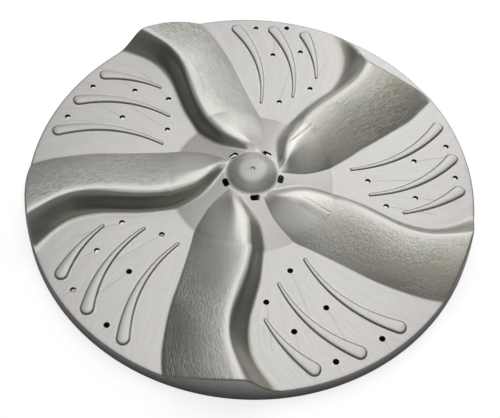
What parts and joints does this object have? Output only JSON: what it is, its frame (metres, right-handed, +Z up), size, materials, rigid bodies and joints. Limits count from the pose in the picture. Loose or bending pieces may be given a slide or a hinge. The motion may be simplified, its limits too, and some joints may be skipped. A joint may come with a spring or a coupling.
{
  "type": "washing machine pulsator plate",
  "caption": "Low dished disc agitator with swept vanes, small comma ribs and drain holes on top, and a domed hub with a toothed shaft socket below.",
  "frame": {"origin": "centre of the rim's lower edge, on the axis that the plate turns about", "axes": "+Z up along the axis of turning, out of the dome; +Y away from the camera of the picture, +X to its right"},
  "size_m": [0.3398, 0.3399, 0.0258],
  "materials": {
    "silver_plastic": "satin"
  },
  "bodies": {
    "root": {"pulsator_plate": "silver_plastic"}
  },
  "joints": []
}
